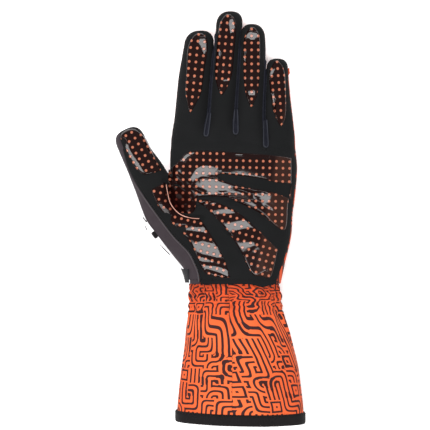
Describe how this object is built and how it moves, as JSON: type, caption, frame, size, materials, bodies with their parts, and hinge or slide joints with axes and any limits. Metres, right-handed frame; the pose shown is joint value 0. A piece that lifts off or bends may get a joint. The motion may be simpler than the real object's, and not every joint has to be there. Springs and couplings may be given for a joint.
{
  "type": "karting glove",
  "caption": "Left karting glove: black suede palm with dotted silicone grips, charcoal thumb side, printed orange back and long flared cuff with a black hem tape.",
  "frame": {"origin": "middle of the footprint, on the surface that the back of the glove lies on", "axes": "+Y from the cuff toward the fingers, +Z out of the palm, -X toward the thumb"},
  "size_m": [0.136, 0.304, 0.0463],
  "materials": {
    "suede": "matt black synthetic suede with a short nap",
    "charcoal_stretch": "charcoal stretch knit",
    "white_stretch": "off-white stretch knit",
    "orange_print": "orange stretch knit with a dark brown line print",
    "navy_stretch": "blue-black stretch knit",
    "silicone": "clear glossy silicone over black, with orange dots",
    "black_tape": "black ribbed binding tape",
    "strap_web": "black webbing"
  },
  "bodies": {
    "root": {"palm_panel": "suede", "thumb_side_panel": "charcoal_stretch", "thumb_back_panel": "white_stretch", "back_panel": "orange_print", "fourchette_index_middle": "navy_stretch", "fourchette_middle_ring": "navy_stretch", "fourchette_ring_little": "navy_stretch", "grip_index": "silicone", "grip_middle": "silicone", "grip_ring": "silicone", "grip_little": "silicone", "grip_thumb": "silicone", "grip_palm_upper": "silicone", "grip_palm_middle": "silicone", "grip_thenar": "silicone", "cuff": "orange_print", "hem_binding": "black_tape", "wrist_strap": "strap_web"}
  },
  "joints": []
}
